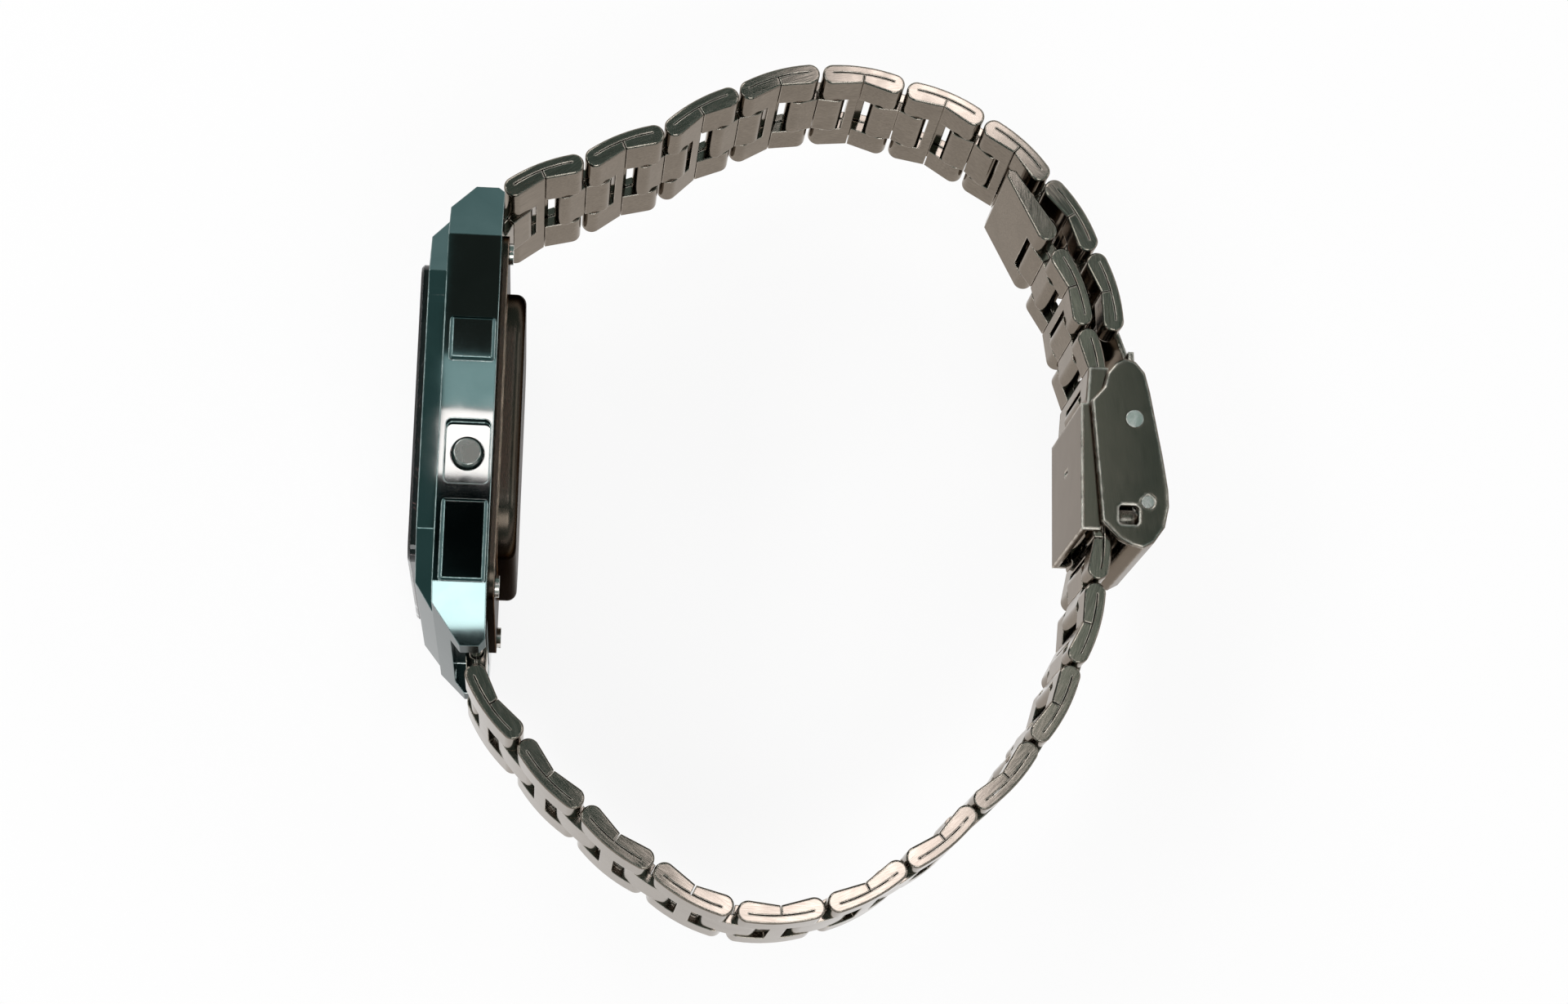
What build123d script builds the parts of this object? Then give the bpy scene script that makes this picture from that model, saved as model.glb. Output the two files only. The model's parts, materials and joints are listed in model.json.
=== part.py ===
from build123d import *
from math import asin, atan2, cos, degrees, hypot, radians, sin
import os

os.makedirs("parts", exist_ok=True)

# A digital wristwatch on a folded-link steel bracelet, lying on its 9 o'clock side.
# X runs from 12 o'clock to 6 o'clock, Y from the crystal to the clasp, Z up to the 3 o'clock side.
# Pieces are drawn about the middle of the case, and moved onto the floor when they are written.
# All lengths are in millimetres and all angles in degrees.

# Case, in depths before and behind its middle plane
case_length = 36.8
case_width = 33.2
body_front = 2.0
body_back = 2.1
bezel_rise = 1.4
crystal_proud = 0.7
lug_width = 22.6
corner_top = 5.6
corner_bottom = 3.9
guard_rise = 0.4
guard_bevel = 0.2
front_end_margin = 4.6
step_end_margin = 2.6
bezel_side_margin = 1.7
crystal_end_margin = 6.5
crystal_side_margin = 4.4
cavity_end_play = 0.1
cavity_side_play = 0.2
bar_end_margin = 1.15
lug_gap_margin = 1.35
screw_end_margin = 5.0
screw_side_margin = 6.7
glass_end_margin = 4.4
glass_side_margin = 1.7
window_lap = 1.3
back_end_margin = 3.85
back_side_margin = 3.7
dome_end_margin = 3.85
dome_side_margin = 1.3

# Bracelet
link_widths = (17.0, 16.2, 15.4, 14.7, 14.1, 13.6, 13.2, 13.0)
link_pitch = 7.03
link_gap = 0.25
sheet_radius = 0.85
centre_span = 3.2
end_span = 3.3
centre_width = 6.8

# Clasp
cover_sheet = 0.6
wall_sheet = 0.4
hook_sheet = 0.45

# Clearances
fit_gap = 0.05
side_gap = 0.12
sheet_gap = 0.15
overrun = 2.0

half_length = case_length / 2
half_width = case_width / 2
flank = half_width - guard_rise
bezel_front = body_front + bezel_rise

pieces = []
hinges = []


def keep(builder, name):
    """Label a finished piece and list it for writing."""
    builder.part.label = name
    pieces.append(builder.part)


def slab(depth):
    """A plane across the case at this depth behind its middle, facing the crystal."""
    return Plane.XZ.offset(-depth)


def cut_corners(top, bottom, width, cut_top, cut_bottom, end_width):
    """A front outline with its corners cut: how far it reaches each way, and the cuts."""
    right = [(-top, end_width), (-top + cut_top, width), (bottom - cut_bottom, width), (bottom, end_width)]
    left = [(x, -z) for x, z in reversed(right)]
    return Polygon(*right, *left, align=None)


# Case shell
front_bevel = 1.85
front_reach = half_length - front_end_margin
step_reach = half_length - step_end_margin
tip_depth = 0.15
tip_round = 0.5
bezel_reach = step_reach
bezel_width = half_width - bezel_side_margin
bezel_end_width = 10.6
crystal_length = case_length - 2 * crystal_end_margin
crystal_width = case_width - 2 * crystal_side_margin
crystal_sheet = 1.05
crystal_corner = 1.6
crystal_bevel = 0.2
window_margin = 0.9
ledge = 0.4
cavity_length = crystal_length + 2 * cavity_end_play
cavity_width = crystal_width + 2 * cavity_side_play
cavity_corner = 2.0
lug_gap = link_widths[0] + 2.2 * sheet_gap
bar_reach = half_length - bar_end_margin
lug_gap_reach = bar_reach - lug_gap_margin
lug_gap_front = 0.6
bar_depth = 1.3
bar_radius = 0.5
pivot_radius = 0.38
pivot_length = 1.1
screw_reach = half_length - screw_end_margin
screw_width = half_width - screw_side_margin
screw_radius = 0.45
screw_length = 1.5
gasket_sheet = 0.4
gasket_width = 0.5
gasket_margin = 0.15
notch_place = -8.2
notch_radius = 1.3
notch_depth = 0.12

# Pushers, each in a sunk panel of the flank
pusher_place = 4.4
pusher_depth = 0.2
panel_length = 5.0
panel_height = 3.4
panel_sink = 0.9
panel_corner = 0.5
cap_radius = 1.2
cap_rise = 0.75
cap_bevel = 0.2
cap_skirt = 0.5
pusher_travel = 0.8
pusher_well = 1.9
stem_radius = 0.5
stem_reach = 0.55
seal_wire = 0.22
clip_radius = 1.05
clip_sheet = 0.25
clip_gap = 0.05
block_places = (-6.1, -2.7)
rear_places = (8.2, 14.5)

cavity_front = bezel_front - crystal_sheet + crystal_proud + ledge
panel_floor = flank - panel_sink
well_floor = panel_floor - pusher_well
pushers = (("start", pusher_place, 1), ("mode", pusher_place, -1), ("light", -pusher_place, -1))


def pusher_plane(place, side, height):
    """A plane square to a pusher, at this height above the case's middle on its side."""
    return Plane(origin=(place, pusher_depth, side * height), x_dir=(1, 0, 0), z_dir=(0, 0, side))


with BuildPart() as case_shell:
    with BuildSketch(slab(body_back)):
        cut_corners(half_length, half_length, flank, corner_top, corner_bottom, lug_width / 2)
    extrude(amount=body_back + body_front)
    with BuildSketch(slab(-body_front)):
        cut_corners(bezel_reach, bezel_reach, bezel_width, corner_top, corner_top, bezel_end_width)
    extrude(amount=bezel_rise)
    with BuildSketch(Plane.XY):
        Polygon(
            (-front_reach, -bezel_front),
            (front_reach, -bezel_front),
            (step_reach, -body_front),
            (half_length, tip_depth),
            (half_length, body_back - tip_round),
            (half_length - tip_round, body_back),
            (-half_length + tip_round, body_back),
            (-half_length, body_back - tip_round),
            (-half_length, -tip_depth),
            (-step_reach, -body_front),
            align=None,
        )
    extrude(amount=case_width, both=True, mode=Mode.INTERSECT)
    # Raised blocks beside the sunk panels
    for side in (1, -1):
        for start, end in (block_places, rear_places):
            if side < 0 and start < 0:
                continue
            with BuildSketch(Plane(origin=(0, 0, side * flank), z_dir=(0, 0, side), x_dir=(1, 0, 0))):
                with Locations(((start + end) / 2, side * pusher_depth)):
                    RectangleRounded(end - start, panel_height, panel_corner / 2)
            extrude(amount=guard_rise)
        tops = case_shell.faces().group_by(Axis.Z)[-1 if side > 0 else 0]
        chamfer(tops.edges(), guard_bevel)
    # Sunk panels, wells, seal grooves and stem holes of the pushers
    for name, place, side in pushers:
        with BuildSketch(pusher_plane(place, side, panel_floor)):
            RectangleRounded(panel_length, panel_height, panel_corner)
        extrude(amount=panel_sink + guard_rise, mode=Mode.SUBTRACT)
        with BuildSketch(pusher_plane(place, side, well_floor)):
            Circle(cap_radius + fit_gap)
        extrude(amount=pusher_well + overrun, mode=Mode.SUBTRACT)
        with BuildSketch(pusher_plane(place, side, cavity_width / 2 - overrun)):
            Circle(stem_radius + fit_gap)
        extrude(amount=well_floor - cavity_width / 2 + 2 * overrun, mode=Mode.SUBTRACT)
    # Crystal seat, window and the room for the movement
    with BuildSketch(slab(-bezel_front - crystal_proud + crystal_sheet)):
        RectangleRounded(crystal_length + 2 * fit_gap, crystal_width + 2 * fit_gap, crystal_corner)
    extrude(amount=crystal_sheet, mode=Mode.SUBTRACT)
    with BuildSketch(slab(-body_front)):
        RectangleRounded(
            crystal_length - 2 * window_margin, crystal_width - 2 * window_margin, crystal_corner / 2
        )
    extrude(amount=bezel_rise + overrun, mode=Mode.SUBTRACT)
    with BuildSketch(slab(body_back)):
        RectangleRounded(cavity_length, cavity_width, cavity_corner)
    extrude(amount=body_back + cavity_front - 2 * ledge, mode=Mode.SUBTRACT)
    # Gasket groove round the back opening
    groove_length = cavity_length + 2 * gasket_margin
    groove_width = cavity_width + 2 * gasket_margin
    with BuildSketch(slab(body_back)):
        RectangleRounded(groove_length + 2 * gasket_width, groove_width + 2 * gasket_width, cavity_corner)
        RectangleRounded(groove_length, groove_width, cavity_corner, mode=Mode.SUBTRACT)
    extrude(amount=gasket_sheet, mode=Mode.SUBTRACT)
    # Gaps between the lugs, the holes of the spring bars and the tapped holes of the back
    for end in (1, -1):
        with BuildSketch(slab(body_back)):
            with Locations((end * (lug_gap_reach + overrun), 0)):
                Rectangle(2 * overrun, lug_gap)
        extrude(amount=body_back + lug_gap_front, mode=Mode.SUBTRACT)
        with BuildSketch(Plane.XY):
            with Locations((end * bar_reach, bar_depth)):
                Circle(pivot_radius + fit_gap)
        extrude(amount=lug_gap / 2 + pivot_length, both=True, mode=Mode.SUBTRACT)
    with BuildSketch(slab(body_back)):
        with GridLocations(2 * screw_reach, 2 * screw_width, 2, 2):
            Circle(screw_radius)
    extrude(amount=screw_length, mode=Mode.SUBTRACT)
    # Curved steps in the bezel's side, near 12 o'clock
    for side in (1, -1):
        with BuildSketch(slab(-body_front)):
            with Locations((notch_place, side * (bezel_width + notch_radius - notch_depth))):
                Circle(notch_radius)
        extrude(amount=bezel_rise, mode=Mode.SUBTRACT)
keep(case_shell, "case_shell")

# Crystal and its gasket
seal_ring = 0.45
gasket_rise = 0.25
with BuildPart() as crystal:
    with BuildSketch(slab(-bezel_front - crystal_proud + crystal_sheet)):
        RectangleRounded(crystal_length, crystal_width, crystal_corner)
    extrude(amount=crystal_sheet)
    chamfer(crystal.faces().sort_by(Axis.Y)[0].edges(), crystal_bevel)
    with BuildSketch(slab(-bezel_front - crystal_proud + crystal_sheet)):
        RectangleRounded(crystal_length + fit_gap, crystal_width + fit_gap, crystal_corner)
        RectangleRounded(
            crystal_length - 2 * seal_ring, crystal_width - 2 * seal_ring, crystal_corner, mode=Mode.SUBTRACT
        )
    extrude(amount=gasket_rise, mode=Mode.SUBTRACT)
keep(crystal, "crystal")

with BuildPart() as crystal_gasket:
    with BuildSketch(slab(-bezel_front - crystal_proud + crystal_sheet)):
        RectangleRounded(crystal_length, crystal_width, crystal_corner)
        RectangleRounded(
            crystal_length - 2 * seal_ring + 2 * fit_gap,
            crystal_width - 2 * seal_ring + 2 * fit_gap,
            crystal_corner,
            mode=Mode.SUBTRACT,
        )
    extrude(amount=gasket_rise)
keep(crystal_gasket, "crystal_gasket")

# Dial mask, display glass, light panel and contact strips, one behind another
mask_sheet = 0.25
mask_window_length = 9.6
mask_window_place = 1.2
glass_length = crystal_length - 2 * glass_end_margin
glass_width = crystal_width - 2 * glass_side_margin
mask_window_width = glass_width - 2 * window_lap
glass_sheet = 1.0
light_length = 10.6
light_sheet = 0.45
strip_width = 1.1
frame_gap = 0.2
frame_length = cavity_length - 2 * frame_gap
frame_width = cavity_width - 2 * frame_gap
board_sheet = 0.5
dial_front = cavity_front - 2 * ledge - fit_gap
glass_front = dial_front - mask_sheet - fit_gap
light_front = glass_front - glass_sheet - fit_gap
board_front = light_front - light_sheet - 2 * fit_gap

with BuildPart() as dial_mask:
    with BuildSketch(slab(-dial_front + mask_sheet)):
        RectangleRounded(frame_length, frame_width, cavity_corner)
        with Locations((mask_window_place, 0)):
            RectangleRounded(mask_window_length, mask_window_width, panel_corner, mode=Mode.SUBTRACT)
    extrude(amount=mask_sheet)
keep(dial_mask, "dial_mask")

with BuildPart() as lcd_panel:
    with BuildSketch(slab(-glass_front + glass_sheet)):
        with Locations((mask_window_place, 0)):
            Rectangle(glass_length, glass_width)
    extrude(amount=glass_sheet)
keep(lcd_panel, "lcd_panel")

with BuildPart() as light_panel:
    with BuildSketch(slab(-light_front + light_sheet)):
        with Locations((mask_window_place, 0)):
            Rectangle(light_length, glass_width - 2 * fit_gap)
    extrude(amount=light_sheet)
keep(light_panel, "light_panel")

strip_place = glass_length / 2 - strip_width / 2
with BuildPart() as contact_strips:
    with BuildSketch(slab(-board_front)):
        with Locations((mask_window_place - strip_place, 0), (mask_window_place + strip_place, 0)):
            Rectangle(strip_width, glass_width - 2 * strip_width)
    extrude(amount=light_front - board_front + fit_gap)
keep(contact_strips, "contact_strips")

# Module frame with its pockets, circuit board and what it carries
frame_back = 1.6
battery_radius = 10.0
battery_sheet = 1.6
board_width = glass_width + 4 * frame_gap
pocket_length = 3.0
pocket_floor = board_width / 2 - fit_gap
buzzer_spring_radius = 0.35
buzzer_spring_spot = (glass_length / 2, strip_width - glass_width / 2)
chip_size = 4.0
chip_sheet = 0.1
battery_front = board_sheet - board_front + 2 * fit_gap + chip_sheet

with BuildPart() as module_frame:
    with BuildSketch(slab(frame_back)):
        RectangleRounded(frame_length, frame_width, cavity_corner)
    extrude(amount=frame_back + glass_front)
    with BuildSketch(slab(-board_front + board_sheet + fit_gap)):
        with Locations((mask_window_place, 0)):
            Rectangle(glass_length + 2 * fit_gap, glass_width + 2 * fit_gap)
    extrude(amount=board_front + glass_front + overrun, mode=Mode.SUBTRACT)
    with BuildSketch(slab(frame_back + overrun)):
        Circle(battery_radius + fit_gap)
    extrude(amount=frame_back + overrun - battery_front + fit_gap, mode=Mode.SUBTRACT)
    with BuildSketch(slab(battery_front)):
        Rectangle(glass_length + 2 * strip_width, board_width + 2 * fit_gap)
    extrude(amount=battery_front + board_front + fit_gap, mode=Mode.SUBTRACT)
    for name, place, side in pushers:
        with BuildSketch(pusher_plane(place, side, pocket_floor)):
            Rectangle(pocket_length, frame_back + glass_front + overrun)
        extrude(amount=frame_width / 2 - pocket_floor + overrun, mode=Mode.SUBTRACT)
    with BuildSketch(slab(frame_back)):
        with Locations(buzzer_spring_spot):
            Circle(buzzer_spring_radius + fit_gap)
    extrude(amount=frame_back - battery_front + 2 * fit_gap, mode=Mode.SUBTRACT)
keep(module_frame, "module_frame")

with BuildPart() as circuit_board:
    with BuildSketch(slab(-board_front + board_sheet)):
        Rectangle(glass_length + 2 * strip_width - frame_gap, board_width)
    extrude(amount=board_sheet)
keep(circuit_board, "circuit_board")

with BuildPart() as processor:
    with BuildSketch(slab(-board_front + board_sheet + chip_sheet)):
        Rectangle(chip_size, chip_size)
    extrude(amount=chip_sheet)
keep(processor, "processor")

with BuildPart() as battery:
    with BuildSketch(slab(battery_front + battery_sheet)):
        Circle(battery_radius)
    extrude(amount=battery_sheet)
    chamfer(battery.edges().filter_by(GeomType.CIRCLE), fit_gap * 3)
keep(battery, "battery")

clip_bar_width = 5.0
clip_bar_length = board_width + 4 * frame_gap
clip_bar_sheet = 0.3
clip_back = battery_front + battery_sheet + fit_gap + clip_bar_sheet
with BuildPart() as battery_clip:
    with BuildSketch(slab(clip_back)):
        Rectangle(clip_bar_width, clip_bar_length)
    extrude(amount=clip_bar_sheet)
    with BuildSketch(slab(clip_back)):
        with Locations((0, (clip_bar_length - clip_bar_sheet) / 2), (0, (clip_bar_sheet - clip_bar_length) / 2)):
            Rectangle(clip_bar_width, clip_bar_sheet)
    extrude(amount=clip_back - frame_back)
keep(battery_clip, "battery_clip")

# Case back, pressed from sheet, with its gasket, screws and buzzer
back_sheet = 0.5
back_reach = half_length - back_end_margin
back_width = half_width - back_side_margin
back_corner = 2.4
dome_reach = back_reach - dome_end_margin
dome_width = back_width - dome_side_margin
dome_rise = 1.5
dome_corner = 4.2
dome_round = 0.8
head_radius = 0.85
head_rise = 0.35
slot_width = 0.25
buzzer_radius = 8.6
buzzer_sheet = 0.25

with BuildPart() as case_back:
    with BuildSketch(slab(body_back + back_sheet)):
        RectangleRounded(2 * back_reach, 2 * back_width, back_corner)
    extrude(amount=back_sheet)
    with BuildSketch(slab(body_back + back_sheet + dome_rise)):
        RectangleRounded(2 * dome_reach, 2 * dome_width, dome_corner)
    extrude(amount=dome_rise)
    fillet(case_back.faces().sort_by(Axis.Y)[-1].edges(), dome_round)
    with BuildSketch(slab(body_back + dome_rise)):
        RectangleRounded(2 * (dome_reach - back_sheet), 2 * (dome_width - back_sheet), dome_corner - back_sheet)
    extrude(amount=dome_rise, mode=Mode.SUBTRACT)
    with BuildSketch(slab(body_back + back_sheet)):
        with GridLocations(2 * screw_reach, 2 * screw_width, 2, 2):
            Circle(screw_radius + fit_gap)
    extrude(amount=back_sheet, mode=Mode.SUBTRACT)
keep(case_back, "case_back")

with BuildPart() as back_gasket:
    with BuildSketch(slab(body_back)):
        RectangleRounded(
            groove_length + 2 * gasket_width - fit_gap, groove_width + 2 * gasket_width - fit_gap, cavity_corner
        )
        RectangleRounded(groove_length + fit_gap, groove_width + fit_gap, cavity_corner, mode=Mode.SUBTRACT)
    extrude(amount=gasket_sheet)
keep(back_gasket, "back_gasket")

with BuildPart() as back_screws:
    with BuildSketch(slab(body_back + back_sheet + head_rise)):
        with GridLocations(2 * screw_reach, 2 * screw_width, 2, 2):
            Circle(head_radius)
    extrude(amount=head_rise)
    with BuildSketch(slab(body_back + back_sheet)):
        with GridLocations(2 * screw_reach, 2 * screw_width, 2, 2):
            Circle(screw_radius - fit_gap / 2)
    extrude(amount=back_sheet + screw_length - fit_gap)
    with BuildSketch(slab(body_back + back_sheet + head_rise)):
        with GridLocations(2 * screw_reach, 2 * screw_width, 2, 2):
            Rectangle(2 * head_radius, slot_width)
    extrude(amount=head_rise / 2, mode=Mode.SUBTRACT)
keep(back_screws, "back_screws")

with BuildPart() as buzzer_disc:
    with BuildSketch(slab(body_back + dome_rise - fit_gap)):
        Circle(buzzer_radius)
    extrude(amount=buzzer_sheet)
keep(buzzer_disc, "buzzer_disc")

buzzer_spring_front = board_sheet - board_front + fit_gap
with BuildPart() as buzzer_spring:
    with BuildSketch(slab(body_back - fit_gap)):
        with Locations(buzzer_spring_spot):
            Circle(buzzer_spring_radius)
    extrude(amount=body_back - fit_gap - buzzer_spring_front)
keep(buzzer_spring, "buzzer_spring")

# Pushers with their springs, seals and clips
for name, place, side in pushers:
    with BuildPart() as pusher:
        with BuildSketch(pusher_plane(place, side, panel_floor - cap_skirt)):
            Circle(cap_radius)
        extrude(amount=cap_skirt + cap_rise)
        chamfer(pusher.faces().sort_by(Axis.Z)[-1 if side > 0 else 0].edges(), cap_bevel)
        with BuildSketch(pusher_plane(place, side, cavity_width / 2 - stem_reach)):
            Circle(stem_radius)
        extrude(amount=panel_floor - cap_skirt - cavity_width / 2 + stem_reach)
    keep(pusher, f"pusher_{name}")
    with BuildPart() as clip:
        with BuildSketch(pusher_plane(place, side, cavity_width / 2 - clip_gap - clip_sheet)):
            Circle(clip_radius)
            Circle(stem_radius + fit_gap / 2, mode=Mode.SUBTRACT)
            with Locations((0, clip_radius)):
                Rectangle(stem_radius, 2 * clip_radius, mode=Mode.SUBTRACT)
        extrude(amount=clip_sheet)
    keep(clip, f"clip_{name}")

spring_wire = 0.18
spring_length = pusher_well - cap_skirt - pusher_travel - fit_gap - 2 * seal_wire
with BuildPart() as pusher_springs:
    for name, place, side in pushers:
        with BuildSketch(pusher_plane(place, side, well_floor + 2 * seal_wire)):
            Circle(cap_radius - fit_gap)
            Circle(cap_radius - fit_gap - spring_wire, mode=Mode.SUBTRACT)
        extrude(amount=spring_length)
keep(pusher_springs, "pusher_springs")

with BuildPart() as pusher_seals:
    for name, place, side in pushers:
        with BuildSketch(pusher_plane(place, side, well_floor)):
            Circle(cap_radius - fit_gap)
            Circle(stem_radius + fit_gap, mode=Mode.SUBTRACT)
        extrude(amount=2 * seal_wire - fit_gap)
keep(pusher_seals, "pusher_seals")

# Spring bars between the lugs
for name, end in (("spring_bar_12", -1), ("spring_bar_6", 1)):
    with BuildPart() as spring_bar:
        with BuildSketch(Plane.XY):
            with Locations((end * bar_reach, bar_depth)):
                Circle(bar_radius)
        extrude(amount=lug_gap / 2 - sheet_gap, both=True)
        with BuildSketch(Plane.XY):
            with Locations((end * bar_reach, bar_depth)):
                Circle(pivot_radius)
        extrude(amount=lug_gap / 2 + pivot_length - fit_gap, both=True)
    keep(spring_bar, name)

# Folded links: sizes of the sheet, its pins and the gaps between
link_length = link_pitch - link_gap
pin_span = link_pitch - centre_span
cap_centre = link_length / 2 - sheet_radius
crown = 0.25
inner_fold = 0.5
slit = 0.1
slit_height = 0.38
bar_width = 1.25
tongue_width = 0.85
pin_radius = 0.42
pin_bore = 0.5
pin_end = 0.6
edge_break = 0.12
row_inner = centre_width / 2
centre_half = row_inner - side_gap
centre_crown = 0.12
centre_fold = 0.3
centre_slit = 0.12
spring_bar_bore = bar_radius + 2 * fit_gap


def along(point, heading, distance):
    """The point this far from another, in this direction across the strap's loop."""
    return (point[0] + distance * cos(radians(heading)), point[1] + distance * sin(radians(heading)))


def link_plane(point, heading, turn):
    """A plane with X along the link and Y away from the wrist."""
    x_dir = (cos(radians(heading)), sin(radians(heading)), 0)
    return Plane(origin=(point[0], point[1], 0), x_dir=x_dir, z_dir=(0, 0, turn))


def folded_side(reach, rise, fold):
    """Side view of a folded sheet link: round ends, a crowned outside and a creased inside."""
    radius = sheet_radius
    crown_middle = (rise * rise - reach * reach) / (2 * rise)
    lean = degrees(atan2(-crown_middle, reach))
    crown_end = along((reach, 0), lean, radius)
    crease = (0, fold - radius)
    run = hypot(reach, crease[1])
    flat_heading = degrees(atan2(-crease[1], reach) - asin(radius / run))
    flat_end = along(crease, flat_heading, (run * run - radius * radius) ** (1 / 2))
    with BuildSketch() as side_view:
        with BuildLine():
            ThreePointArc((-crown_end[0], crown_end[1]), (0, radius + rise), crown_end)
            ThreePointArc(crown_end, (reach + radius, 0), flat_end)
            Polyline(flat_end, crease, (-flat_end[0], flat_end[1]))
            ThreePointArc((-flat_end[0], flat_end[1]), (-reach - radius, 0), (-crown_end[0], crown_end[1]))
        make_face()
    return side_view.sketch


def fold_gap(reach, height):
    """The thin gap between the two layers of a folded sheet, and the seam down to the wrist side."""
    low = height / 3
    with BuildSketch() as gap:
        with BuildLine():
            ThreePointArc((-reach, low), (0, height), (reach, low))
            Line((reach, low), (reach, low + slit))
            ThreePointArc((reach, low + slit), (0, height + slit), (-reach, low + slit))
            Line((-reach, low + slit), (-reach, low))
        make_face()
        with Locations((0, height / 2 - sheet_radius)):
            Rectangle(slit, height + 2 * sheet_radius)
    return gap.sketch


def centre_link(span, from_bore):
    """A centre link lying along X, with a bore for the pin at each end."""
    with BuildPart() as centre:
        with BuildSketch():
            add(folded_side(span / 2, centre_crown, centre_fold))
        extrude(amount=centre_half, both=True)
        with BuildSketch():
            add(fold_gap(span / 2 - pin_bore / 2, centre_slit))
            with Locations((-span / 2, 0)):
                Circle(from_bore)
            with Locations((span / 2, 0)):
                Circle(pin_bore)
        extrude(amount=centre_half, both=True, mode=Mode.SUBTRACT)
    return centre.part


tall = 2 * sheet_radius
far = link_length / 2 + overrun


def folded_link(half):
    """A link of this half width along X: two side rows with a cross bar outside and a tongue inside."""
    with BuildPart() as folded:
        with BuildSketch():
            add(folded_side(cap_centre, crown, inner_fold))
        extrude(amount=half, both=True)
        ends = folded.edges().group_by(Axis.Z)
        chamfer(ends[0] + ends[-1], edge_break)
        with BuildSketch():
            Polygon(
                (bar_width / 2, tall),
                (far, tall),
                (far, -tall),
                (-slit / 2, -tall),
                (-slit / 2, slit_height),
                (bar_width / 2, slit_height),
                align=None,
            )
            Polygon(
                (-bar_width / 2, tall),
                (-far, tall),
                (-far, -tall),
                (-tongue_width, -tall),
                (-tongue_width, slit_height),
                (-bar_width / 2, slit_height),
                align=None,
            )
        extrude(amount=row_inner, both=True, mode=Mode.SUBTRACT)
        with BuildSketch():
            add(fold_gap(cap_centre, slit_height))
        extrude(amount=half, both=True, mode=Mode.SUBTRACT)
        with BuildSketch():
            with Locations((-pin_span / 2, 0), (pin_span / 2, 0)):
                Circle(pin_bore)
        extrude(amount=half - pin_end, both=True, mode=Mode.SUBTRACT)
        with BuildSketch():
            with Locations((-pin_span / 2, 0), (pin_span / 2, 0)):
                Circle(pin_radius)
        extrude(amount=half - pin_end - fit_gap, both=True)
    return folded.part


# The strap narrows link by link, and keeps its last width to the clasp
folded_links = [folded_link(width / 2) for width in link_widths]
first_centre = centre_link(end_span, spring_bar_bore)
next_centre = centre_link(centre_span, pin_bore)


def bracelet_link(name, number, pivot, last_heading, heading, turn):
    """One folded link with its two pins and the centre link that holds it to the pin before."""
    folded = folded_links[min(number, len(folded_links)) - 1]
    centre, span = (first_centre, end_span) if number == 1 else (next_centre, centre_span)
    centre_heading = (last_heading + heading) / 2
    first = along(pivot, centre_heading, span)
    with BuildPart() as link:
        add(link_plane(along(first, heading, pin_span / 2), heading, turn) * folded)
        add(link_plane(along(pivot, centre_heading, span / 2), centre_heading, turn) * centre)
    keep(link, name)
    hinges.append((name, pivot))
    return along(first, heading, pin_span)


# Each strap, by the direction in which each of its links runs at rest
upper_lead = 142.0
upper_headings = (115.0, 115.0, 123.0, 108.5, 83.5, 68.5, 48.0, 32.0, 15.0)
lower_lead = 8.5
lower_headings = (36.0, 44.5, 52.5, 63.0, 94.5, 119.5, 131.0, 138.5, 153.5, 164.5, 180.0, 180.0, 187.0, 200.0)
tail_heading = 211.0

pin = (-bar_reach, bar_depth)
last_heading = 2 * upper_lead - upper_headings[0]
for number, heading in enumerate(upper_headings, start=1):
    pin = bracelet_link(f"upper_link_{number}", number, pin, last_heading, heading, 1)
    last_heading = heading
hook_bar = pin

pin = (bar_reach, bar_depth)
last_heading = 2 * lower_lead - lower_headings[0]
lower_pins = []
for number, heading in enumerate(lower_headings, start=1):
    lower_pins.append(pin)
    pin = bracelet_link(f"lower_link_{number}", number, pin, last_heading, heading, -1)
    last_heading = heading

# Tail end, a plain wedge of sheet as wide as the links beside it
clasp_half = link_widths[-1] / 2
tail_length = 6.9
tail_tip = 0.45
reach = tail_length - sheet_radius - tail_tip
centre_heading = (last_heading + tail_heading) / 2
tail_pin = along(pin, centre_heading, centre_span)
plane = link_plane(tail_pin, tail_heading, -1)
with BuildPart() as tail_end:
    with BuildSketch(plane):
        with BuildLine():
            CenterArc((0, 0), sheet_radius, 0, 360)
            Polyline(
                (reach, sheet_radius - 3 * tail_tip),
                (reach + tail_tip, sheet_radius - 2 * tail_tip),
                (reach, sheet_radius - tail_tip),
            )
        make_hull()
    extrude(amount=clasp_half, both=True)
    ends = tail_end.edges().group_by(Axis.Z)
    chamfer(ends[0] + ends[-1], edge_break)
    with BuildSketch(plane):
        Rectangle(2 * (sheet_radius + side_gap), 2 * tall)
    extrude(amount=row_inner, both=True, mode=Mode.SUBTRACT)
    with BuildSketch(plane):
        Circle(pin_bore)
    extrude(amount=clasp_half - pin_end, both=True, mode=Mode.SUBTRACT)
    with BuildSketch(plane):
        Circle(pin_radius)
    extrude(amount=clasp_half - pin_end - fit_gap, both=True)
    add(link_plane(along(pin, centre_heading, centre_span / 2), centre_heading, -1) * next_centre)
keep(tail_end, "tail_end")
hinges.append(("tail_end", pin))

# Clasp, drawn about the middle of the centre link between the two straight links that it holds
clasp_centre = along(lower_pins[11], lower_headings[11], centre_span / 2)
wall_inner = clasp_half + sheet_gap
wall_outer = wall_inner + wall_sheet
cover_inner = wall_outer + 1.5 * sheet_gap
cover_outer = cover_inner + cover_sheet
floor_top = -sheet_radius - side_gap
floor_sheet = 0.5
cover_pin = (-6.0, 2.7)
hook_pin_place = (0.8, 3.7)
rivet_radius = 0.45
rivet_head = 0.7
rivet_rise = 0.12
hook_pin_radius = 0.5
knuckle_radius = 0.95


def clasp_plane(height):
    """A plane across the clasp at this height, with its origin in the clasp's middle."""
    return Plane(origin=(clasp_centre[0], clasp_centre[1], height))


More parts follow.
